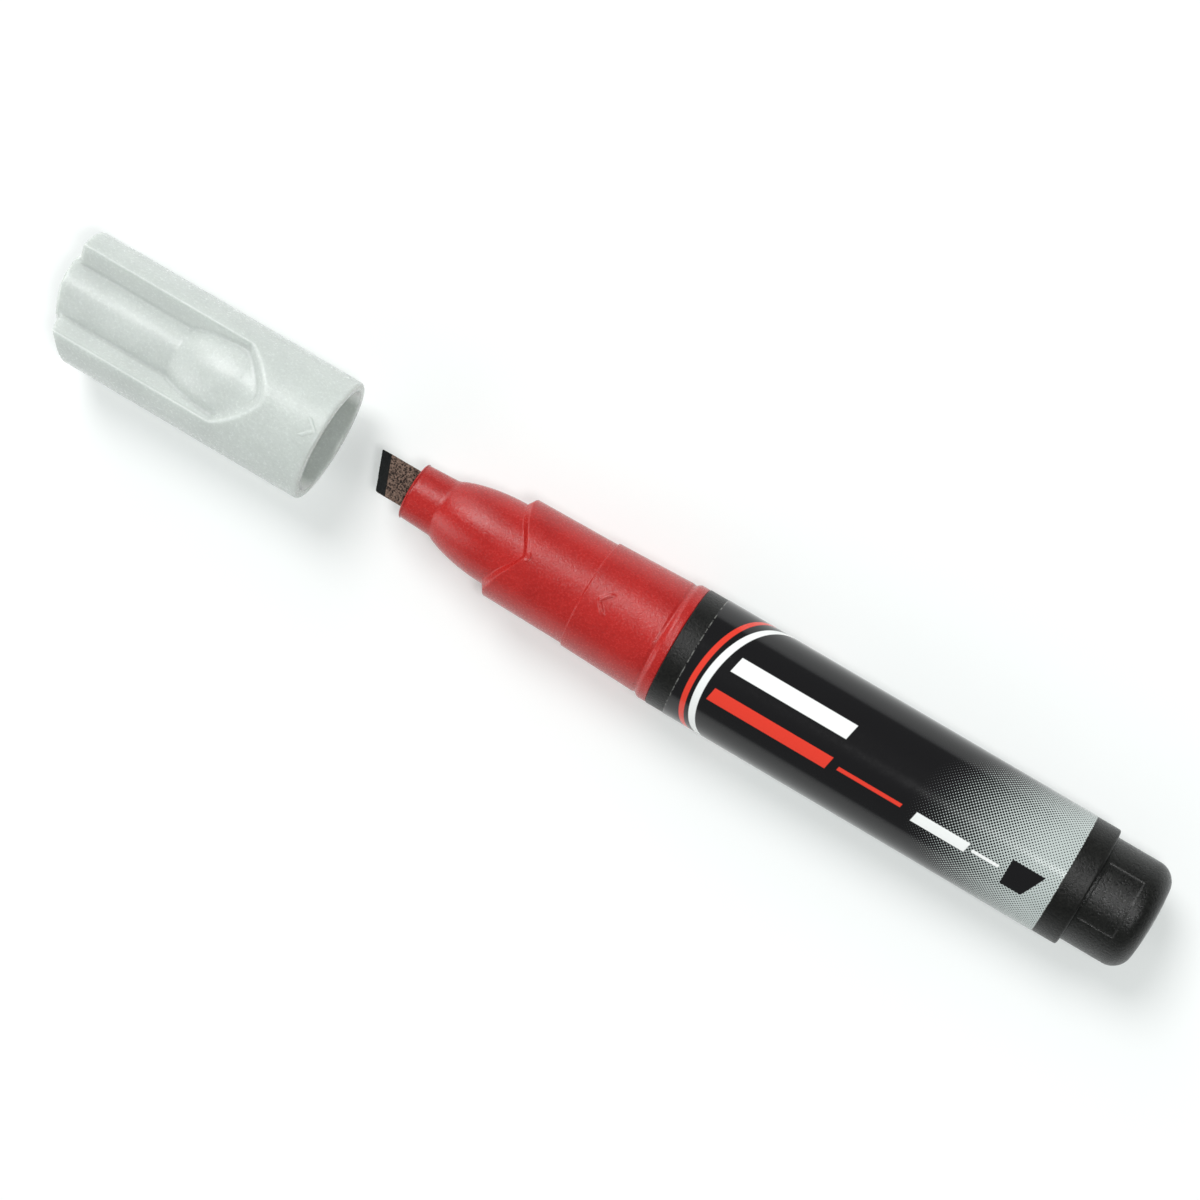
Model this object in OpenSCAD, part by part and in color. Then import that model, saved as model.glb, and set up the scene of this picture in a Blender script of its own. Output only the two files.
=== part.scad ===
// Felt tip marker with a chisel nib, lying on a table, and its cap pulled off in front of the nib.
// The marker's axis runs along X, with the nib towards -X and the wide face of the nib upwards.
// The origin is on the table, under the middle of the marker and its cap together.
// Stations are millimetres from the front of the nib towards the rear. All sizes are millimetres.

/* [Barrel] */
// Outside diameter of the barrel
barrel_d = 16.8; // [16.4:0.1:17.2]
// Wall of the barrel
barrel_wall = 0.95; // [0.8:0.05:1.1]
// Length of the barrel
barrel_len = 61; // [56:0.1:80]
// Thickness of the printed film round the barrel
label_t = 0.06; // [0.04:0.01:0.1]
// Width of bare barrel in front of the label
label_front_gap = 2.7; // [1:0.1:6]
// Width of bare barrel behind the label
label_rear_gap = 3.5; // [1:0.1:6]

/* [Nib] */
// Width of the felt across its wide face
nib_w = 5.4; // [4.6:0.1:5.6]
// Thickness of the felt
nib_t = 3.6; // [2.6:0.1:4]
// Length of felt that stands out of the front section
nib_reach = 6.7; // [5:0.1:9]
// How far the writing edge runs back from one corner of the nib to the other
nib_slant = 2.1; // [0:0.1:3]
// How far the chisel face runs back from the lower edge of the nib to the upper
nib_bevel = 2.1; // [0.5:0.1:3]
// Whole length of the felt, most of it hidden
nib_len = 36; // [34:1:40]

/* [Front section] */
// Diameter of the snout that holds the nib
snout_d = 7.7; // [7.5:0.1:7.8]
// Length of the snout
snout_len = 4.8; // [4:0.1:6]
// Length of the rounded shoulder behind the snout
shoulder_len = 8.8; // [8:0.1:11]
// Diameter of the shoulder where it meets the cap seat
shoulder_d = 11.9; // [11.4:0.1:12]
// Diameter of the front of the cap seat
seat_front_d = 14.3; // [14:0.1:14.5]
// Diameter of the rear of the cap seat
seat_rear_d = 14.8; // [14.6:0.05:14.85]
// Length of the cap seat at the sides
seat_len = 13.3; // [13:0.1:15]
// Depth of the vee that the cap seat has above and below
seat_vee = 3.9; // [3.5:0.1:4]
// Diameter of the front of the finger sleeve
sleeve_front_d = 15.2; // [15.1:0.05:15.4]
// Diameter of the rear of the finger sleeve
sleeve_rear_d = 16; // [15.6:0.05:16.2]
// Length of the finger sleeve
sleeve_len = 11.4; // [9:0.1:14]
// Length of the collar that the barrel butts against
collar_len = 1.9; // [1.5:0.1:3]
// Height of the raised arrow heads
arrow_h = 0.15; // [0.1:0.05:0.25]
// Half of an arrow head's width
arrow_half = 1.4; // [1:0.1:1.6]
// Length of an arrow head, without its line
arrow_len = 1.3; // [1:0.1:1.6]
// Width of an arrow head's line
arrow_line = 0.6; // [0.4:0.1:0.7]

/* [End plug] */
// Length of plug that stands out of the barrel
plug_reach = 9.3; // [7:0.1:12]
// Length of plug inside the barrel
plug_depth = 9; // [7:0.1:12]
// Radius of the corner round the end
plug_corner = 2.3; // [1:0.1:2.5]
// Height of the dome on the end
plug_dome = 0.7; // [0.4:0.1:1.4]

/* [Reservoir] */
// Diameter of the fibre core
core_d = 11.2; // [10.4:0.1:11.4]
// Thickness of the film wrapped round the core
wrap_t = 0.15; // [0.1:0.05:0.2]

/* [Cap] */
// Outside diameter of the cap
cap_d = 17.4; // [17.2:0.1:18]
// Diameter of the cap's mouth
cap_bore_d = 14.9; // [14.9:0.05:15]
// Length of the cap on its longer side
cap_len = 41; // [40:0.1:44]
// Outside diameter of the tube inside the channels
tube_d = 10; // [9.8:0.1:10.4]
// Thickness of the cap's inner walls
cap_wall = 1.1; // [1:0.05:1.2]
// Distance from the mouth to the channels' vee
channel_start = 8.8; // [8.6:0.1:9]
// Length of the slope from the vee down to the floor of a channel
channel_slope = 1.3; // [1:0.1:1.5]
// Half of a channel's width at its floor
channel_floor = 3.5; // [3.3:0.1:3.6]
// Half of a channel's width at the outside
channel_top = 5.85; // [5.6:0.05:6]
// Distance that the seated cap's mouth stops short of the finger sleeve
seat_gap = 0.5; // [0.4:0.1:1]
// Distance from the mouth of the pulled-off cap to the nib
cap_gap = 6; // [3:0.5:20]

/* [Hidden] */
$fn = 96;

// Radii
barrel_r = barrel_d / 2;
bore_r = barrel_r - barrel_wall;
label_r = barrel_r + label_t;
core_r = core_d / 2;
wrap_r = core_r + wrap_t;
snout_r = snout_d / 2;
shoulder_r = shoulder_d / 2;
collar_r = barrel_r - 0.05;
hull_bore_r = wrap_r + 0.15;
cap_r = cap_d / 2;
cap_bore_r = cap_bore_d / 2;
tube_r = tube_d / 2;
snug_r = snout_r + 0.3;

// Stations along the marker
snout_x = nib_reach;
shoulder_x = snout_x + snout_len;
seat_x = shoulder_x + shoulder_len;
stop_x = seat_x + seat_len;
sleeve_end_x = stop_x + sleeve_len;
barrel_x = sleeve_end_x + collar_len;
barrel_end_x = barrel_x + barrel_len;
end_x = barrel_end_x + plug_reach;
spigot_len = 9;
core_x = nib_len - 8;
core_end_x = barrel_end_x - 2.6;
core_len = core_end_x - core_x;
plug_x = barrel_end_x - plug_depth;

// The whole assembly is centred on the origin and rests on the cap's radius
mouth_x = -cap_gap;
front_x = mouth_x - cap_len;
mid_x = (front_x + end_x) / 2;
axis_z = cap_r;

// Points on an arc about c, from angle a to angle b
function arc(c, r, a, b, n = 8) = [for (i = [0:n]) c + r * [cos(a + (b - a) * i / n), sin(a + (b - a) * i / n)]];

// Radius of the rounded shoulder at a station, a quarter wave that eases into the cap seat
function shoulder_at(t) = snout_r + 0.15 + (shoulder_r - snout_r - 0.15) * pow(sin(90 * t), 0.62);

// A profile of [radius, station] points, turned round the marker's axis
module turned(profile) {
    translate([-mid_x, 0, axis_z]) rotate([0, 90, 0]) rotate_extrude() polygon(profile);
}

// An outline seen from above, with X as the station, cut right through
module plan_cut(outline, low = -20, high = 20) {
    translate([-mid_x, 0, axis_z + low]) linear_extrude(high - low) polygon(outline);
}

// A straight bore along the axis
module bored(r, x0, x1) {
    translate([x0 - mid_x, 0, axis_z]) rotate([0, 90, 0]) cylinder(r = r, h = x1 - x0);
}

// A bar along the axis, wide across Y
module bar(x0, x1, wide, high) {
    translate([x0 - mid_x, -wide / 2, axis_z - high / 2]) cube([x1 - x0, wide, high]);
}

// An arrow head that points towards +X or -X, seen from above
function arrow(x, way) = [
    [x, 0], [x - way * arrow_len, arrow_half], [x - way * (arrow_len + arrow_line), arrow_half],
    [x - way * (arrow_len + arrow_line), arrow_half - arrow_line], [x - way * arrow_line * 1.3, 0],
    [x - way * (arrow_len + arrow_line), arrow_line - arrow_half],
    [x - way * (arrow_len + arrow_line), -arrow_half], [x - way * arrow_len, -arrow_half]
];

// The arrow head stands arrow_h proud of a round surface of radius r
module raised_arrow(x, way, r) {
    intersection() {
        bored(r + arrow_h, x - 3, x + 3);
        plan_cut(arrow(x, way), r - 1, r + 1);
    }
}

// Moulded tube, open at both ends, that carries the label
module barrel() {
    color([0.14, 0.13, 0.14]) difference() {
        bored(barrel_r, barrel_x, barrel_end_x);
        bored(bore_r, barrel_x - 1, barrel_end_x + 1);
    }
}

// Printed film wrapped round the barrel
module label() {
    label_x0 = barrel_x + label_front_gap;
    label_x1 = barrel_end_x - label_rear_gap;
    color([0.2, 0.2, 0.2]) difference() {
        bored(label_r, label_x0, label_x1);
        bored(barrel_r, label_x0 - 1, label_x1 + 1);
    }
}

// Outside of the snout and the rounded shoulder, as far as the cap seat hides it
function shoulder_profile() = concat(
    [[0, snout_x], [snout_r - 0.3, snout_x]],
    arc([snout_r - 0.3, snout_x + 0.3], 0.3, -90, 0, 4),
    [[snout_r + 0.15, shoulder_x]],
    [for (i = [1:12]) [shoulder_at(i / 12), shoulder_x + shoulder_len * i / 12]],
    [[shoulder_r + 0.1, seat_x + seat_vee + 1], [0, seat_x + seat_vee + 1]]
);

// Cap seat, finger sleeve, collar and the spigot that is pressed into the barrel
function body_profile() = [
    [0, seat_x], [seat_front_d / 2 - 1.1, seat_x], [seat_front_d / 2 - 0.2, seat_x + 0.9],
    [seat_front_d / 2, seat_x + 1.4], [seat_rear_d / 2, stop_x], [sleeve_front_d / 2, stop_x],
    [sleeve_rear_d / 2, sleeve_end_x - 0.3], [sleeve_rear_d / 2 - 0.25, sleeve_end_x - 0.2],
    [sleeve_rear_d / 2 - 0.25, sleeve_end_x], [collar_r - 0.2, sleeve_end_x],
    [collar_r, sleeve_end_x + 0.3], [collar_r, barrel_x], [bore_r, barrel_x],
    [bore_r, barrel_x + spigot_len], [0, barrel_x + spigot_len]
];

// Outline of the vee at the front of the cap seat, seen from above, with a rounded corner
function seat_outline() = concat(
    [[seat_x - 0.1, 12], [seat_x - 0.1, cap_bore_r - 0.4]],
    [for (t = [1:-0.125:-1]) [seat_x + seat_vee * (1 - pow(abs(t), 1.25)), (cap_bore_r - 0.6) * t]],
    [[seat_x - 0.1, 0.4 - cap_bore_r], [seat_x - 0.1, -12], [barrel_x + 20, -12], [barrel_x + 20, 12]]
);

// Moulded nib holder, with the cap seat, the finger sleeve and the spigot in one piece
module front_section() {
    inner_x = snout_x + snout_len + 6;
    color([0.78, 0.2, 0.2]) difference() {
        union() {
            turned(shoulder_profile());
            intersection() {
                turned(body_profile());
                plan_cut(seat_outline());
            }
            raised_arrow(stop_x + 2.4, -1, sleeve_front_d / 2 + 0.1);
        }
        bar(snout_x - 1, core_x + 1, nib_w, nib_t);
        bored(hull_bore_r, core_x, barrel_x + spigot_len + 1);
    }
}

// Felt bar cut to a chisel, with its rear end pushed into the reservoir
module nib() {
    half = nib_w / 2;
    color([0.28, 0.2, 0.17]) intersection() {
        bar(0, nib_len, nib_w, nib_t);
        plan_cut([[0, half + 1], [0, half], [nib_slant, -half], [nib_slant, -half - 1],
            [nib_len + 1, -half - 1], [nib_len + 1, half + 1]]);
        // The chisel face leans back from the lower edge to the upper one
        translate([-mid_x, 0, axis_z]) multmatrix([[1, -nib_slant / nib_w, 0, nib_slant / 2],
            [0, 1, 0, 0], [0, 0, 1, 0]])
            rotate([90, 0, 0]) linear_extrude(nib_w + 2, center = true)
            polygon([[0, -nib_t / 2 - 1], [0, -nib_t / 2], [nib_bevel, nib_t / 2],
                [nib_bevel, nib_t / 2 + 1], [nib_len + 5, nib_t / 2 + 1], [nib_len + 5, -nib_t / 2 - 1]]);
    }
}

// Rod of bonded fibre that holds the ink, with a slot for the nib
module reservoir_core() {
    color([0.6, 0.12, 0.12]) difference() {
        bored(core_r, core_x, core_end_x);
        bar(core_x - 1, nib_len, nib_w, nib_t);
    }
}

// Film that keeps the fibre rod together
module reservoir_film() {
    color([0.85, 0.85, 0.88]) difference() {
        bored(wrap_r, core_x, core_end_x);
        bored(core_r, core_x - 1, core_end_x + 1);
    }
}

// Outside of the plug: a straight cup with a rounded corner and a shallow dome
function plug_profile() = concat(
    [[0, plug_x], [bore_r, plug_x], [bore_r, end_x - plug_dome - plug_corner]],
    arc([bore_r - plug_corner, end_x - plug_dome - plug_corner], plug_corner, 0, 75, 8),
    [for (i = [1:6]) [(bore_r - plug_corner) * cos(90 * i / 6), end_x - plug_dome * (1 - sin(90 * i / 6)) * 0.9]],
    [[0, end_x]]
);

// Hollow plug pressed into the rear of the barrel, with ribs that hold the reservoir
module end_plug() {
    wall = 1.1;
    floor_x = end_x - plug_dome - plug_corner;
    rib_len = floor_x - core_end_x;
    color([0.14, 0.13, 0.14]) {
        difference() {
            turned(plug_profile());
            bored(bore_r - wall, plug_x - 1, floor_x);
        }
        intersection() {
            union() {
                bar(core_end_x, floor_x, 2 * bore_r, 1);
                bar(core_end_x, floor_x, 1, 2 * bore_r);
            }
            bored(bore_r - wall, core_end_x, core_end_x + rib_len);
        }
    }
}

// Distance from the cap's mouth, for a station on the capped marker
function from_mouth(x) = stop_x - seat_gap - x;

// Radius of the cap's inside over the shoulder, which the cap clears all round
function clear_at(t) = shoulder_at(t) + 0.3;

// Points of the cap's inside or outside from the vee to the snout tube, grown by a wall
function flare(wall) = [for (i = [12:-1:1]) [clear_at(i / 12) + wall, from_mouth(shoulder_x + shoulder_len * i / 12)]];

// A profile of [radius, distance from the mouth] points, turned round the cap's axis
module cap_turned(profile) {
    translate([mouth_x - mid_x, 0, axis_z]) rotate([0, -90, 0]) rotate_extrude() polygon(profile);
}

// A section across the cap, with X upwards and Y across, carried from one distance to another
module cap_section(outline, u0, u1) {
    translate([mouth_x - u0 - mid_x, 0, axis_z]) rotate([0, -90, 0]) linear_extrude(u1 - u0) polygon(outline);
}

// One channel above the tube. Its end slopes down from the vee on the outside to the floor
module channel_cut() {
    slope = channel_slope / (cap_r - clear_at(1) - cap_wall);
    intersection() {
        cap_section(channel_section, 5, cap_len + 5);
        multmatrix([[1, 0, slope, -slope * (axis_z + cap_r)], [0, 1, 0, 0], [0, 0, 1, 0]])
            cap_plan(channel_plan);
    }
}

// An outline of [distance from the mouth, across] points, cut right through
module cap_plan(outline) {
    translate([mouth_x - mid_x, 0, axis_z - 20]) mirror([1, 0, 0]) linear_extrude(40) polygon(outline);
}

// Half width of a channel at a height above the axis
channel_lean = (channel_top - channel_floor)
    / (sqrt(cap_r * cap_r - channel_top * channel_top) - sqrt(tube_r * tube_r - channel_floor * channel_floor));
function channel_half(z) = channel_floor + (z - sqrt(tube_r * tube_r - channel_floor * channel_floor)) * channel_lean;

// Section of one channel, open upwards
channel_section = [[1, -channel_half(1)], [10, -channel_half(10)], [10, channel_half(10)], [1, channel_half(1)]];

// Outline of a channel seen from above, from its rounded vee to past the closed end
channel_plan = concat(
    [for (t = [-1:0.125:1]) [channel_start + 3.5 * pow(abs(t), 1.4), (channel_top + 0.6) * t]],
    [[cap_len + 20, channel_top + 3], [cap_len + 20, -channel_top - 3]]
);

// Closed end of the wings, seen from above: it slants the same way as the nib
function wing_end(inset) = [[-1, -10], [cap_len - 5 - inset, -10], [cap_len - 4.7 - inset, -8.5],
    [cap_len - 2.5 - inset, -5], [cap_len - 0.8 - inset, 4.5], [cap_len - 0.8 - inset, 10], [-1, 10]];

// Closed end of the tube between the wings, which stands a little further out
function tube_end(inset) = concat([[-1, -7], [cap_len - 2.6 - inset, -7]],
    [for (i = [0:8]) [cap_len - inset - 1.9 * pow((8 - i) / 8, 2), -5 + 1.25 * i]],
    [[cap_len - inset, 7], [-1, 7]]);

// Outside of the tube: it widens towards the mouth to clear the front section's shoulder
tube_outside = concat([[0, 2], [cap_bore_r + 0.5, 2]], flare(cap_wall - 0.1),
    [[tube_r, from_mouth(shoulder_x) + 1], [tube_r, cap_len + 1], [0, cap_len + 1]]);

// Inside of the cap round the shoulder and the snout
tube_inside = concat([[0, 2], [clear_at(1), 2]], flare(0),
    [[snug_r, from_mouth(shoulder_x) + 0.4], [snug_r, cap_len + 1], [0, cap_len + 1]]);

// Room for the cap seat and its vee
room_len = seat_len - seat_gap + 0.25;
seat_room = concat(
    [for (t = [-1:0.125:1]) [room_len - seat_vee * (1 - pow(abs(t), 1.25)), (cap_bore_r - 0.6) * t]],
    [[room_len, cap_bore_r + 1], [-1, cap_bore_r + 1], [-1, -cap_bore_r - 1], [room_len, -cap_bore_r - 1]]
);

// Hollow inside one wing, between the tube and the outer wall
module wing_hollow(side) {
    lean = atan(channel_lean);
    edge = channel_half(0) + cap_wall / cos(lean);
    reach = cap_bore_r + 1;
    difference() {
        intersection() {
            cap_turned([[0, 11], [cap_bore_r, 11], [cap_bore_r, cap_len], [0, cap_len]]);
            cap_section([[-reach, side * (edge + reach * channel_lean)], [0, side * edge],
                [reach, side * (edge + reach * channel_lean)]], 11, cap_len);
            cap_plan(wing_end(cap_wall));
        }
        cap_turned(tube_outside);
    }
}

// Moulded cap: a round mouth, two wings, and channels above and below with a tube between them
module cap() {
    color([0.86, 0.88, 0.87, 0.8]) difference() {
        union() {
            intersection() {
                difference() {
                    cap_turned([[0, 0], [cap_r - 0.2, 0], [cap_r, 0.2], [cap_r, cap_len - 1],
                        [cap_r - 0.8, cap_len + 2], [0, cap_len + 2]]);
                    channel_cut();
                    translate([0, 0, 2 * axis_z]) mirror([0, 0, 1]) channel_cut();
                }
                cap_plan(wing_end(0));
            }
            intersection() {
                cap_turned(tube_outside);
                cap_plan(tube_end(0));
            }
            raised_arrow(mouth_x - 0.8, 1, cap_r - 0.05);
        }
        intersection() {
            cap_turned([[0, -1], [cap_bore_r, -1], [cap_bore_r, seat_len + 1], [0, seat_len + 1]]);
            cap_plan(seat_room);
        }
        intersection() {
            cap_turned(tube_inside);
            cap_plan(tube_end(cap_wall));
        }
        wing_hollow(1);
        wing_hollow(-1);
    }
}

barrel();
label();
front_section();
nib();
reservoir_core();
reservoir_film();
end_plug();
cap();
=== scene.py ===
import math

import bmesh
import bpy
from mathutils import Matrix, Vector, noise


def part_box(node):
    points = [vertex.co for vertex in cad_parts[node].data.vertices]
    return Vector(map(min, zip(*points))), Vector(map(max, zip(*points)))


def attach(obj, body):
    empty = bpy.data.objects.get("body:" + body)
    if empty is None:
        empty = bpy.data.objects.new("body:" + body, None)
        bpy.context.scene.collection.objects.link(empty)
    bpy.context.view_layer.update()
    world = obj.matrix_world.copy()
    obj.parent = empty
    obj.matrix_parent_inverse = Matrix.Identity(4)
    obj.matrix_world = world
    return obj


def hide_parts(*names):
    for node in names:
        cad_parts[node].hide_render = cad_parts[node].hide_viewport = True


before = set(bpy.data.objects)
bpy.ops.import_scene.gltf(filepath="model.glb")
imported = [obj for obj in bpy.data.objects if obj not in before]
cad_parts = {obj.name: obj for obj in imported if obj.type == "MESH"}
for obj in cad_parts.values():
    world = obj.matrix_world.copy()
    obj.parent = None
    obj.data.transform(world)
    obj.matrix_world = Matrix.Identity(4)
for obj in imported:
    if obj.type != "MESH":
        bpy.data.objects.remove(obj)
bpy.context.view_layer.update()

# ---------------------------------------------------------------- table, light and camera
# A plain pale table top of frosted sheet, lit faintly from below, lies under the marker. Its
# middle is at the frame's origin, and the marker's axis lies along X with the nib towards -X.
mm = 0.001
low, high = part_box("nib")
nib_tip = low.x
axis_z = (low.z + high.z) / 2


class Socket:
    """One output of a material's node tree. Arithmetic on it adds Math nodes."""

    def __init__(self, tree, link):
        self.tree = tree
        self.link = link

    def node(self, kind, settings=None, out=0, **inputs):
        """Adds a node, sets it up, links or sets its inputs, and returns one of its outputs."""
        made = self.tree.nodes.new(kind)
        for name, value in (settings or {}).items():
            if name == "stops":
                ramp = made.color_ramp
                while len(ramp.elements) < len(value):
                    ramp.elements.new(1)
                for element, (place, colour) in zip(ramp.elements, value):
                    element.position = place
                    element.color = colour if len(colour) == 4 else (*colour, 1)
            else:
                setattr(made, name, value)
        for name, value in inputs.items():
            key = int(name[1:]) if name[0] == "i" and name[1:].isdigit() else name.replace("_", " ")
            if isinstance(value, Socket):
                self.tree.links.new(value.link, made.inputs[key])
            else:
                made.inputs[key].default_value = value
        return Socket(self.tree, made.outputs[out])

    def maths(self, operation, *values):
        inputs = {f"i{k}": v for k, v in enumerate(values)}
        return self.node("ShaderNodeMath", {"operation": operation}, **inputs)

    def __add__(self, other):
        return self.maths("ADD", self, other)

    def __radd__(self, other):
        return self.maths("ADD", other, self)

    def __sub__(self, other):
        return self.maths("SUBTRACT", self, other)

    def __rsub__(self, other):
        return self.maths("SUBTRACT", other, self)

    def __mul__(self, other):
        return self.maths("MULTIPLY", self, other)

    def __rmul__(self, other):
        return self.maths("MULTIPLY", other, self)

    def clamp(self):
        return self.maths("MAXIMUM", self.maths("MINIMUM", self, 1.0), 0.0)

    def root(self):
        return self.maths("SQRT", self)

    def fraction(self):
        return self.maths("FRACT", self)

    def part(self, number):
        """The x, y or z part of a vector, numbered 0, 1 and 2."""
        return self.node("ShaderNodeSeparateXYZ", out=number, Vector=self)

    def ramp(self, start, stop):
        """0 below start, 1 above stop, and straight between."""
        return ((self - start) * (1 / (stop - start))).clamp()

    def colour(self, first, second):
        """Mixes two colours by this factor."""
        return self.node("ShaderNodeMix", {"data_type": "RGBA"}, 2, i0=self, i6=first, i7=second)


def material(name, **shader):
    """A new Principled material with its own constants. Returns it, its shader, and object coordinates."""
    made = bpy.data.materials.new(name)
    made.use_nodes = True
    bsdf = made.node_tree.nodes["Principled BSDF"]
    for key, value in shader.items():
        bsdf.inputs[key.replace("_", " ")].default_value = value
    start = Socket(made.node_tree, None)
    place = start.node("ShaderNodeTexCoord", out=3)
    return made, bsdf, place


def feed(bsdf, **links):
    """Links varying values into the shader's sockets."""
    for key, value in links.items():
        value.tree.links.new(value.link, bsdf.inputs[key.replace("_", " ")])


def grain(place, scale, detail=2.0, rough=0.6):
    """Fine noise in the object's own space, with scale in cycles a metre."""
    return place.node("ShaderNodeTexNoise", out=0, Vector=place, Scale=scale, Detail=detail, Roughness=rough)


table_size = 4.0
table_bm = bmesh.new()
bmesh.ops.create_grid(table_bm, x_segments=8, y_segments=8, size=table_size)
table_mesh = bpy.data.meshes.new("table_top")
table_bm.to_mesh(table_mesh)
table_bm.free()
table = bpy.data.objects.new("table_top", table_mesh)
bpy.context.scene.collection.objects.link(table)
table_finish, bsdf, place = material("table_white", Roughness=0.6, Specular_IOR_Level=0.3,
                                     Emission_Color=(0.94, 1.0, 0.98, 1), Emission_Strength=0.29)
cloud = grain(place, 9.0)
feed(bsdf, Base_Color=cloud.colour((0.62, 0.62, 0.62, 1), (0.65, 0.65, 0.65, 1)))
table_mesh.materials.append(table_finish)

# Soft studio light: the main light comes from in front of the nib and over the far side. Soft
# boxes stand low on both sides in front and one hangs over the rear. The room is white at table
# height and dim overhead.
world = bpy.data.worlds.new("studio")
world.use_nodes = True
room = world.node_tree.nodes["Background"]
start = Socket(world.node_tree, None)
bearing = start.node("ShaderNodeTexCoord")
height = bearing.part(2)
shade = height.ramp(0.01, 0.10).colour((0.84, 0.88, 0.87, 1), (0.235, 0.26, 0.255, 1))
shade.tree.links.new(shade.link, room.inputs["Color"])
bpy.context.scene.world = world
turn = math.radians(30.6)
upward = Vector((-math.sin(turn), math.cos(turn), 0))


def studio_light(name, kind, power, spot, **settings):
    """A light at spot, turned towards the middle of the marker."""
    lamp = bpy.data.lights.new(name, kind)
    lamp.energy = power
    for key, value in settings.items():
        setattr(lamp, key, value)
    made = bpy.data.objects.new(name, lamp)
    made.location = spot
    made.rotation_euler = (-Vector(spot)).to_track_quat("-Z", "Y").to_euler()
    made.visible_camera = False
    bpy.context.scene.collection.objects.link(made)


studio_light("key_light", "SUN", 1.50, (-0.30, 0.27, 0.62), angle=math.radians(26))
studio_light("far_front_light", "AREA", 1.8, (-0.52, 0.55, 0.40), size=0.5)
studio_light("near_front_light", "AREA", 2.1, (-0.62, -0.50, 0.36), size=0.5)
studio_light("rear_light", "AREA", 1.3, (0.150, -0.02, 0.60), size=0.09)

# The camera looks down on the marker from above its rear half, turned so that the axis falls
# away to the lower right.
camera_height = 515.6 * mm
camera_spot = Vector((nib_tip + 90 * mm, 0, axis_z + camera_height))
lens = bpy.data.cameras.new("camera")
lens.lens = 120
lens.sensor_width = 36
lens.clip_start = 0.01
camera = bpy.data.objects.new("camera", lens)
camera.location = camera_spot
bpy.context.scene.collection.objects.link(camera)
sight = (Vector((0, 0, axis_z)) - camera_spot).normalized()
side = sight.cross(upward).normalized()
top = side.cross(sight).normalized()
camera.rotation_euler = Matrix((side, top, -sight)).transposed().to_euler()
bpy.context.scene.camera = camera
bpy.context.scene.view_settings.view_transform = "Standard"


# ---------------------------------------------------------------- barrel
# The barrel is a black moulded tube, open at both ends, with a fine spark-eroded grain. The
# nib holder is pressed into its front and the end plug into its rear.
def turned(corners, sides):
    """Spins a closed outline round the marker's axis. Each corner gives its station from the nib's
    tip, its radius, the size of its rounding, and the cuts in the line that follows it."""
    bm = bmesh.new()
    cuts = bm.edges.layers.int.new("cuts")
    verts = [bm.verts.new((nib_tip + corner[0] * mm, 0, corner[1] * mm)) for corner in corners]
    for pair, corner in zip(zip(verts, verts[1:] + verts[:1]), corners):
        bm.edges.new(pair)[cuts] = corner[3]
    for vert, corner in zip(verts, corners):
        if corner[2]:
            bmesh.ops.bevel(bm, geom=[vert], offset=corner[2] * mm, offset_type="OFFSET",
                            affect="VERTICES", segments=4 + int(corner[2] * 4), profile=0.5, material=-1)
    for count in {corner[3] for corner in corners} - {0}:
        line = [e for e in bm.edges if e[cuts] == count]
        bmesh.ops.subdivide_edges(bm, edges=line, cuts=count)
    bm.edges.layers.int.remove(cuts)
    bmesh.ops.spin(bm, geom=bm.verts[:] + bm.edges[:], cent=(0, 0, 0), axis=(1, 0, 0),
                   angle=2 * math.pi, steps=sides, use_merge=True)
    bmesh.ops.remove_doubles(bm, verts=bm.verts, dist=1e-7)
    bmesh.ops.delete(bm, geom=[e for e in bm.edges if e.is_wire], context="EDGES")
    bmesh.ops.recalc_face_normals(bm, faces=bm.faces)
    return bm


def settle(name, bm, finish, body, node):
    """Makes a mesh into a piece that rides on a body and stands for a CAD node."""
    for face in bm.faces:
        face.smooth = True
    mesh = bpy.data.meshes.new(name)
    bm.to_mesh(mesh)
    bm.free()
    mesh.materials.append(finish)
    made = bpy.data.objects.new(name, mesh)
    bpy.context.scene.collection.objects.link(made)
    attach(made, body)
    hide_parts(node)
    return made


def turned_piece(name, bm, finish, node):
    """Raises a turned mesh to the marker's axis, and keeps its long faces even beside its fillets."""
    bmesh.ops.translate(bm, verts=bm.verts, vec=(0, 0, axis_z))
    made = settle(name, bm, finish, "marker", node)
    made.modifiers.new("even_faces", "WEIGHTED_NORMAL")


def station(x):
    """Millimetres from the nib's tip to a place along X."""
    return (x - nib_tip) / mm


def dented(height, strength, depth):
    """A bump that feeds Normal."""
    return height.node("ShaderNodeBump", Height=height, Strength=strength, Distance=depth)


barrel_low, barrel_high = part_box("barrel")
barrel_r = (barrel_high.z - barrel_low.z) / 2 / mm
front_x, rear_x = station(barrel_low.x), station(barrel_high.x)
bore_r = (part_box("end_plug")[1].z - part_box("end_plug")[0].z) / 2 / mm
black = (0.0012, 0.001, 0.0012, 1)
black_worn = (0.010, 0.010, 0.0085, 1)


def black_moulding(name, roughness, shine, bump):
    """Black plastic with a fine moulded grain that catches the light unevenly."""
    made, shader, spot = material(name, Specular_IOR_Level=shine)
    fine = grain(spot, 3000.0, 3.0, 0.7)
    patch = grain(spot, 320.0, 2.0)
    feed(shader, Base_Color=(fine.ramp(0.35, 0.7) * 0.7 + patch * 0.3).colour(black, black_worn),
         Roughness=fine.ramp(0.3, 0.75) * 0.16 + (roughness - 0.06),
         Normal=dented(fine, bump, 0.00016))
    return made


barrel_bm = turned([
    (front_x, bore_r, 0.1, 0), (front_x, barrel_r, 0.15, 0),
    (rear_x, barrel_r, 0.35, 0), (rear_x, bore_r, 0.1, 0),
], 256)
barrel_finish = black_moulding("black_barrel_grain", 0.33, 0.27, 0.5)
turned_piece("barrel_tube", barrel_bm, barrel_finish, "barrel")

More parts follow.
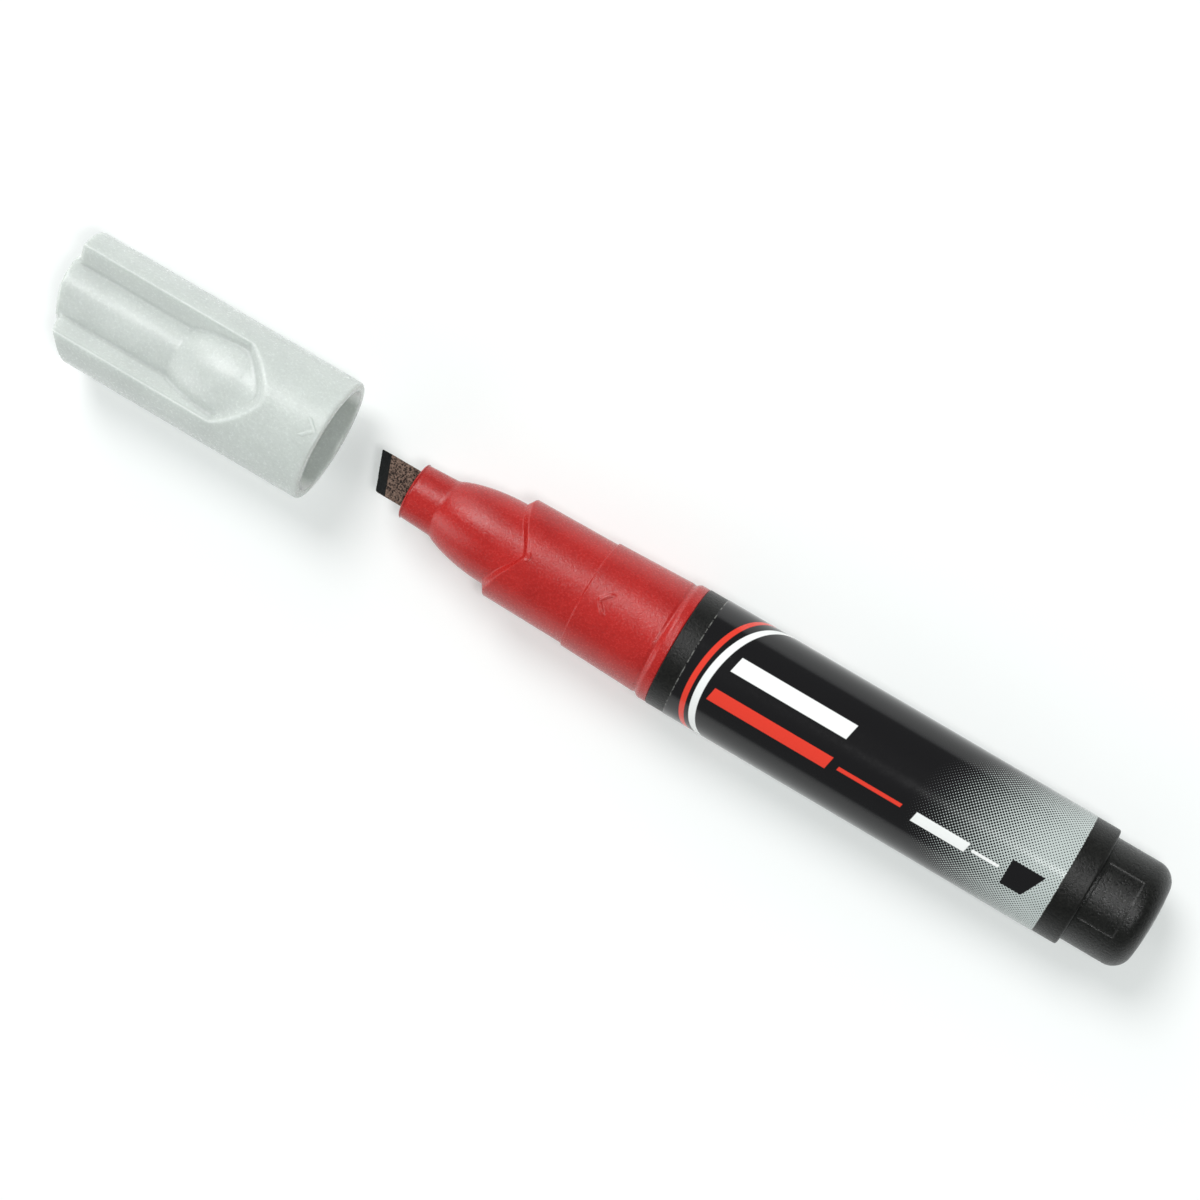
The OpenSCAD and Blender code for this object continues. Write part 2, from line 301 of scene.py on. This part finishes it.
# ---------------------------------------------------------------- label
# The label is a printed plastic film, wrapped once round the barrel and glued along a lap on
# the underside. The print is on its back, under a clear glossy face.
label_low, label_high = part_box("label")
label_r = (label_high.z - label_low.z) / 2 / mm
label_front, label_rear = station(label_low.x), station(label_high.x)
lap_half = 2.2
lap_lift = 0.05
label_bm = turned([
    (label_front, barrel_r + 0.005, 0, 0), (label_front, label_r, 0.02, 0),
    (label_rear, label_r, 0.02, 0), (label_rear, barrel_r + 0.005, 0, 0),
], 360)
for v in label_bm.verts:
    arc = math.atan2(v.co.y, -v.co.z) * label_r
    radius = math.hypot(v.co.y, v.co.z)
    if -lap_half < arc < lap_half and radius > (barrel_r + 0.03) * mm:
        lift = lap_lift * min(1.0, (arc + lap_half) / 0.3) * mm
        v.co.y *= 1 + lift / radius
        v.co.z *= 1 + lift / radius

label_finish, bsdf, place = material("printed_film_gloss", Specular_IOR_Level=0.5)
along = place.part(0) * (1 / mm) - nib_tip / mm
wide = place.part(1)
tall = place.part(2) - axis_z
around = wide.maths("ARCTAN2", wide, tall) * label_r
edge = 0.05


def within(value, start, stop):
    """1 between start and stop, with a narrow soft edge."""
    return value.ramp(start - edge, start + edge) * (1 - value.ramp(stop - edge, stop + edge))


def bar(front, rear, middle, thick):
    """A printed bar along the barrel, with slanted ends."""
    leaning = along - (around - middle) * 0.2
    return within(leaning, front, rear) * within(around, middle - thick / 2, middle + thick / 2)


# Two swept lines run round the front of the label, one behind the other, and bow towards the nib
bow = (around + 3.0) * (around + 3.0)
sweep_red = along - bow * 0.021 - 50.9
sweep_white = along - bow * 0.026 - 52.2
red_line = within(sweep_red, 0, 0.75)
white_line = within(sweep_white, 0, 1.0)
# Black dots in rows at 45 degrees shrink towards the rear, so silver takes over from the black
row_pitch = 0.36 * 1.414
fade_start, fade_length = 82.6, 18
fade = (along - fade_start - (around + 1) * (around + 1) * 0.045).ramp(0, fade_length)
cell_u = ((along + around) * (1 / row_pitch)).fraction() - 0.5
cell_v = ((along - around) * (1 / row_pitch)).fraction() - 0.5
reach = (cell_u * cell_u + cell_v * cell_v).root()
black_dot = 1 - (reach - (0.66 - fade * 0.42)).ramp(-0.06, 0.06)
silver = (1 - black_dot) * fade.ramp(0.0, 0.28)
ink = (0.0045, 0.0035, 0.0045, 1)
silver_ink = (0.50, 0.55, 0.535, 1)
white_ink = (0.86, 0.87, 0.86, 1)
red_ink = (0.75, 0.045, 0.025, 1)
print_colour = silver.colour(ink, silver_ink)
print_colour = white_line.colour(print_colour, white_ink)
print_colour = red_line.colour(print_colour, red_ink)
for mask, tint in (
    (bar(55.2, 72.2, 1.75, 2.3), white_ink),
    (bar(54.2, 71.6, -3.2, 1.9), red_ink),
    (bar(72.9, 82.2, -3.2, 0.55), red_ink),
    (bar(84.2, 92.0, -3.6, 1.5), white_ink),
    (bar(92.7, 96.6, -3.6, 0.45), white_ink),
):
    print_colour = mask.colour(print_colour, tint)
# A plain picture of a chisel nib: a bar with its end cut on a slant
picture_front, picture_rear = 97.7, 101.6
nib_end = along - (around + 3.7) * 0.45
picture = (within(around, -5.6, -1.8) * along.ramp(picture_front - edge, picture_front + edge)
           * (1 - nib_end.ramp(picture_rear - edge, picture_rear + edge)))
print_colour = picture.colour(print_colour, ink)
# Painted highlight: the cut edges of the film are painted light grey in broken dashes, standing in for light
# caught on the edges
edge_glint_dashes = grain(place, 1400.0, 2.0).ramp(0.42, 0.56)
painted_edge_glint = (1 - within(along, label_front + 0.13, label_rear - 0.08)) * edge_glint_dashes
print_colour = painted_edge_glint.colour(print_colour, (0.16, 0.16, 0.15, 1))
ripple = grain(place, 260.0, 1.0)
dust = grain(place, 2600.0, 3.0)
feed(bsdf, Base_Color=print_colour, Roughness=dust * 0.08 + 0.08,
     Normal=dented(ripple, 0.25, 0.00004))
turned_piece("printed_label", label_bm, label_finish, "label")

# ---------------------------------------------------------------- front section
# The front section is one red polypropylene moulding: a snout gripping the felt, a rounded
# shoulder, the cap seat with its vee, the finger sleeve and a collar against the barrel.
snout_x, snout_r = 6.7, 3.84
shoulder_x, shoulder_end, shoulder_r = 11.5, 20.7, 5.95
seat_x, seat_r = 20.3, 7.14
stop_x, sleeve_r = 33.6, 7.62
sleeve_end = 45.0
collar_end, collar_r = front_x, barrel_r - 0.05
spigot_end = station(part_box("front_section")[1].x)
vee_depth, vee_half = 3.9, 6.6
arrow_height_red = 0.14
slot_half_w, slot_half_t = 2.7, 1.8
gate_x, gate_r, gate_height = 24.75, 0.55, 0.13


def ease(t):
    """0 to 1 with soft ends."""
    t = min(1.0, max(0.0, t))
    return t * t * (3 - 2 * t)


def slope(t, soft=0.2):
    """0 to 1 along a straight ramp with a small rounding at each end."""
    t = min(1.0, max(0.0, t))
    if t < soft:
        return t * t / (2 * soft * (1 - soft))
    if t > 1 - soft:
        return 1 - (1 - t) ** 2 / (2 * soft * (1 - soft))
    return (t - soft / 2) / (1 - soft)


def vee_front(y):
    """Station of the cap seat's front edge, y millimetres off the middle."""
    off = math.sqrt(y * y + 0.15)
    return seat_x + vee_depth * (1 - min(1.0, off / vee_half) ** 1.15)


def arrow_height(x, y, tip, way):
    """Height of a raised arrow head at a place, from 0 to 1. It points along X if way is 1."""
    run = (tip - x) * way
    off = abs(abs(y) - 0.95 * (run - 0.1))
    inside = 1 - ease((off - 0.22) / 0.16)
    ends = ease((run + 0.05) / 0.2) * (1 - ease((abs(y) - 1.25) / 0.2))
    return inside * ends


def section_radius(x, y, z):
    """Radius of the red moulding's outside at station x, in the direction of (y, z)."""
    snout = snout_r + 0.045 * (x - snout_x) + 0.16 * ease((x - shoulder_x + 0.3) / 0.8)
    t = min(1.0, max(0.0, (x - shoulder_x) / (shoulder_end - shoulder_x)))
    bullet = 4.0 + (shoulder_r - 4.0) * math.sin(math.pi / 2 * t) ** 0.72 + 0.03 * max(0.0, x - 20)
    if x <= shoulder_x:
        r = snout
    elif x <= shoulder_x + 0.4:
        r = max(snout, bullet)
    else:
        r = bullet
    seat = seat_r + 0.018 * (x - seat_x)
    flank = ease((abs(y) - 3.5) / 3.4)
    if x > 19:
        r += (seat - r) * slope((x - vee_front(y) - 0.14 - 0.2 * flank) / (0.5 + 0.5 * flank))
    if x > 33:
        r += (sleeve_r + 0.036 * (x - stop_x) - seat) * slope((x - stop_x + 0.02) / 0.14)
    if x > 44:
        # A shallow groove runs round in front of the collar
        r -= 0.1 * ease((x - sleeve_end + 0.4) / 0.3) * (1 - ease((x - sleeve_end - 0.1) / 0.3))
        r += (collar_r - r) * ease((x - sleeve_end) / 0.8)
    if z > 0:
        r += arrow_height_red * arrow_height(x, y, stop_x + 2.0, -1)
        # The gate left a small curved mark behind the point of the vee
        gate = math.hypot(x - gate_x, y)
        r += gate_height * math.exp(-((gate - gate_r) / 0.13) ** 2) * ease((x - gate_x) / 0.15)
    return r


core_x, core_r, throat_r = 28.0, 5.9, 3.3
# The outside is spun at one radius first, and section_radius then shapes it
skin_r = 4.0
section_bm = turned([
    (snout_x + 0.3, skin_r, 0, 60), (19.5, skin_r, 0, 62), (25.8, skin_r, 0, 18), (33.2, skin_r, 0, 18),
    (34.2, skin_r, 0, 38), (38.8, skin_r, 0, 10), (44.2, skin_r, 0, 24), (collar_end - 0.18, skin_r, 0, 0),
    (collar_end - 0.04, collar_r - 0.05, 0, 0), (collar_end, collar_r - 0.15, 0, 0),
    (collar_end, bore_r, 0.05, 0), (spigot_end, bore_r, 0.3, 0), (spigot_end, core_r, 0.1, 0),
    (core_x, core_r, 0, 0), (core_x, throat_r, 0, 0), (snout_x + 0.25, throat_r, 0, 0),
    (snout_x, throat_r + 0.1, 0, 0), (snout_x, snout_r, 0.4, 0),
], 300)
for v in section_bm.verts:
    x = station(v.co.x)
    radius = math.hypot(v.co.y, v.co.z) / mm
    turn_y, turn_z = v.co.y / mm / radius, v.co.z / mm / radius
    if abs(radius - skin_r) < 1e-4:
        grown = section_radius(x, turn_y * (seat_r + 0.06), turn_z)
    elif radius < throat_r + 0.12 and x < core_x + 0.1:
        # The throat is pulled in to the slot that grips the felt, with a small lead at its mouth
        grown = min(slot_half_w / max(1e-6, abs(turn_y)), slot_half_t / max(1e-6, abs(turn_z)))
        grown *= 1.03 if radius > throat_r + 0.05 else 1
    else:
        continue
    v.co.y = turn_y * grown * mm
    v.co.z = turn_z * grown * mm

red_finish, bsdf, place = material("red_plastic", Specular_IOR_Level=0.42, Subsurface_Weight=0.06,
                                   Subsurface_Scale=0.001)
fine = grain(place, 3200.0, 3.0, 0.7)
flow = grain(place, 150.0, 2.0)
red_shade, red_light = (0.335, 0.010, 0.009, 1), (0.48, 0.021, 0.018, 1)
feed(bsdf, Base_Color=(flow * 0.4 + fine * 0.6).ramp(0.35, 0.65).colour(red_shade, red_light),
     Roughness=fine.ramp(0.3, 0.75) * 0.12 + 0.20, Normal=dented(fine, 0.35, 0.00015))
turned_piece("red_front_section", section_bm, red_finish, "front_section")

# ---------------------------------------------------------------- nib
# The nib is a bar of sintered polyester felt, cut to a chisel and soaked with ink. Its faces
# are cut fibre ends, open and speckled, and the worn writing face is the darkest.
def skinned(bm, voxel):
    """Gives a solid an even skin of small faces, which rounds its edges a little."""
    rough = bpy.data.meshes.new("rough")
    bm.to_mesh(rough)
    holder = bpy.data.objects.new("rough", rough)
    bpy.context.scene.collection.objects.link(holder)
    skin = holder.modifiers.new("skin", "REMESH")
    skin.mode = "VOXEL"
    skin.voxel_size = voxel * mm
    bm.clear()
    bm.from_object(holder, bpy.context.evaluated_depsgraph_get())
    bpy.data.objects.remove(holder)
    return bm


nib_low, nib_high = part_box("nib")
nib_w, nib_t = (nib_high.y - nib_low.y) / mm, (nib_high.z - nib_low.z) / mm
nib_slant, nib_bevel = 2.1, 2.1
felt_gap = 0.05
nib_bm = bmesh.new()
bmesh.ops.create_cube(nib_bm, size=1.0)
bmesh.ops.scale(nib_bm, vec=nib_high - nib_low - 2 * Vector((0, felt_gap, felt_gap)) * mm, verts=nib_bm.verts)
bmesh.ops.translate(nib_bm, vec=((nib_low.x + nib_high.x) / 2, 0, axis_z), verts=nib_bm.verts)
bmesh.ops.bisect_plane(nib_bm, geom=nib_bm.verts[:] + nib_bm.edges[:] + nib_bm.faces[:],
                       plane_co=(nib_low.x, nib_high.y, nib_low.z),
                       plane_no=(-1, -nib_slant / nib_w, nib_bevel / nib_t), clear_outer=True)
bmesh.ops.contextual_create(nib_bm, geom=[e for e in nib_bm.edges if e.is_boundary])
bmesh.ops.recalc_face_normals(nib_bm, faces=nib_bm.faces)
bmesh.ops.bevel(nib_bm, geom=nib_bm.edges[:], offset=0.14 * mm, affect="EDGES", segments=3,
                profile=0.5, material=-1)
nib_bm = skinned(nib_bm, 0.13)
for v in nib_bm.verts:
    # Fibre ends stand out of the cut faces by a few hundredths of a millimetre
    if v.co.x < nib_low.x + snout_x * mm:
        v.co -= v.normal * 0.03 * mm * (1 + noise.noise(v.co * 2600))

felt_finish, bsdf, place = material("ink_felt", Roughness=0.85, Specular_IOR_Level=0.15)
speckle = grain(place, 3900.0, 2.0, 0.7)
tuft = grain(place, 900.0, 2.0)
# The writing face is the one that looks forwards
facing = place.node("ShaderNodeNewGeometry", out=1).part(0) * -1
worn = facing.ramp(0.35, 0.6)
ink_black, fibre_brown = (0.007, 0.005, 0.005, 1), (0.20, 0.135, 0.105, 1)
brown = (speckle * 0.75 + tuft * 0.25).ramp(0.41, 0.58).colour(ink_black, fibre_brown)
dark = speckle.ramp(0.35, 0.7).colour((0.002, 0.0022, 0.0025, 1), (0.012, 0.0135, 0.0135, 1))
feed(bsdf, Base_Color=worn.colour(brown, dark), Normal=dented(speckle, 0.7, 0.0001))
settle("felt_nib", nib_bm, felt_finish, "marker", "nib")

# ---------------------------------------------------------------- reservoir
# The reservoir is a rod of bonded fibre inside the barrel, soaked with ink, in a thin clear
# wrapper. Both are hidden once the end plug is in.
fibre_finish, bsdf, place = material("ink_fibre", Roughness=0.9, Specular_IOR_Level=0.2)
strands = place.node("ShaderNodeMapping", Vector=place, Scale=(0.05, 1, 1))
strand = grain(strands, 2600.0, 4.0)
feed(bsdf, Base_Color=strand.ramp(0.35, 0.65).colour((0.16, 0.006, 0.008, 1), (0.42, 0.03, 0.03, 1)),
     Normal=dented(strand, 0.7, 0.0001))
wrap_finish, bsdf, place = material("clear_wrapper", Roughness=0.2, Transmission_Weight=0.6, IOR=1.45)
crinkle = grain(place, 420.0, 2.0)
feed(bsdf, Base_Color=crinkle.colour((0.75, 0.76, 0.78, 1), (0.88, 0.88, 0.90, 1)),
     Normal=dented(crinkle, 0.3, 0.0001))
for node, finish in (("reservoir_core", fibre_finish), ("reservoir_film", wrap_finish)):
    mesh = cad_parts[node].data
    mesh.materials.clear()
    mesh.materials.append(finish)

# ---------------------------------------------------------------- end plug
# The end plug is a black moulded cup with a domed end, pressed into the rear of the barrel.
# Two shallow panels are sunk into its sides to grip it in the press tool.
plug_front = station(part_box("end_plug")[0].x)
end_x = station(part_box("end_plug")[1].x)
plug_corner, plug_dome, plug_wall = 2.3, 0.7, 1.1
panel_front, panel_rear = rear_x + 0.35, rear_x + 5.6
panel_half = 32.0
flat_x = end_x - plug_dome
corner_x = flat_x - plug_corner
plug_bm = turned([
    (plug_front, bore_r, 0.2, 0), (rear_x - 0.3, bore_r, 0, 0), (rear_x + 0.15, bore_r, 0, 50),
    (panel_rear + 0.15, bore_r, 0, 0), (flat_x, bore_r, plug_corner, 0), (flat_x, bore_r - 2.5, 0, 8),
    (flat_x, 0, 0, 0), (corner_x, 0, 0, 0), (corner_x, bore_r - plug_wall, 1.0, 0),
    (plug_front, bore_r - plug_wall, 0.2, 0),
], 480)
for v in plug_bm.verts:
    x = station(v.co.x)
    radius = math.hypot(v.co.y, v.co.z) / mm
    if x > corner_x + 0.01:
        v.co.x += plug_dome * (1 - (radius / bore_r) ** 2) * mm
    elif radius > bore_r - 0.01 and panel_front < x < panel_rear:
        angle = abs(math.degrees(math.atan2(v.co.y, abs(v.co.z))))
        sunk = 0.08 * ease((panel_half - angle) / 1.2) + 0.14 * math.exp(-((angle - panel_half) / 0.9) ** 2)
        sunk *= ease((x - panel_front) / 0.15) * ease((panel_rear - x) / 0.15)
        v.co.y *= 1 - sunk / radius
        v.co.z *= 1 - sunk / radius
plug_finish = black_moulding("black_plug_grain", 0.29, 0.34, 0.55)
turned_piece("plug_cup", plug_bm, plug_finish, "end_plug")

# ---------------------------------------------------------------- cap
# The cap is one moulding in natural polypropylene, milky and translucent. Two channels are
# sunk between its wings, and every edge is softened as it leaves the mould.
cap_low, cap_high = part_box("cap")
cap_r = (cap_high.y - cap_low.y) / 2 / mm
mouth_x = station(cap_high.x)
cap_bm = bmesh.new()
cap_bm.from_mesh(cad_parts["cap"].data)
bmesh.ops.remove_doubles(cap_bm, verts=cap_bm.verts, dist=1e-6)
cap_bm = skinned(cap_bm, 0.235)
bmesh.ops.smooth_vert(cap_bm, verts=cap_bm.verts, factor=0.5,
                      use_axis_x=True, use_axis_y=True, use_axis_z=True)
arrow_tip = mouth_x - 0.8
arrow_height_milky = 0.09


def by_arrow(vert):
    """Whether a place is on the outside of the cap, round its arrow head."""
    return (arrow_tip - 3.2 < station(vert.co.x) < arrow_tip + 0.4 and abs(vert.co.y) < 2.2 * mm
            and vert.co.z - axis_z > (cap_r - 0.7) * mm)


near = [e for e in cap_bm.edges if by_arrow(e.verts[0]) and by_arrow(e.verts[1])]
bmesh.ops.subdivide_edges(cap_bm, edges=near, cuts=2, use_grid_fill=True)
for v in cap_bm.verts:
    if by_arrow(v):
        y, z = v.co.y / mm, (v.co.z - axis_z) / mm
        raised = arrow_height_milky * arrow_height(station(v.co.x), y, arrow_tip, 1)
        grown = (cap_r + raised) / math.hypot(y, z)
        v.co.y = y * grown * mm
        v.co.z = z * grown * mm + axis_z

cap_finish, bsdf, place = material("milky_polypropylene", Specular_IOR_Level=0.5,
                                   Subsurface_Weight=0.8, Subsurface_Scale=0.0018,
                                   Subsurface_Radius=(1.0, 1.0, 0.95))
fine = grain(place, 2600.0, 3.0, 0.7)
haze = grain(place, 120.0, 2.0)
milk = (haze * 0.4 + fine * 0.6).ramp(0.35, 0.65).colour((0.53, 0.56, 0.54, 1), (0.615, 0.65, 0.625, 1))
# Painted light: the channel walls that face across are painted lighter, standing in for light let through the
# thin milky walls
across = place.node("ShaderNodeNewGeometry", out=1).part(1)
wide = place.part(1)
tall = place.part(2) - axis_z
out_r = (wide * wide + tall * tall).root()
painted_wall_glow = (across * across).ramp(0.55, 0.85) * (1 - out_r.ramp((cap_r - 0.5) * mm, (cap_r - 0.15) * mm))
feed(bsdf, Base_Color=painted_wall_glow.colour(milk, (0.93, 0.95, 0.935, 1)),
     Roughness=fine * 0.12 + 0.20, Normal=dented(fine, 0.3, 0.00016))
settle("milky_cap", cap_bm, cap_finish, "cap", "cap")
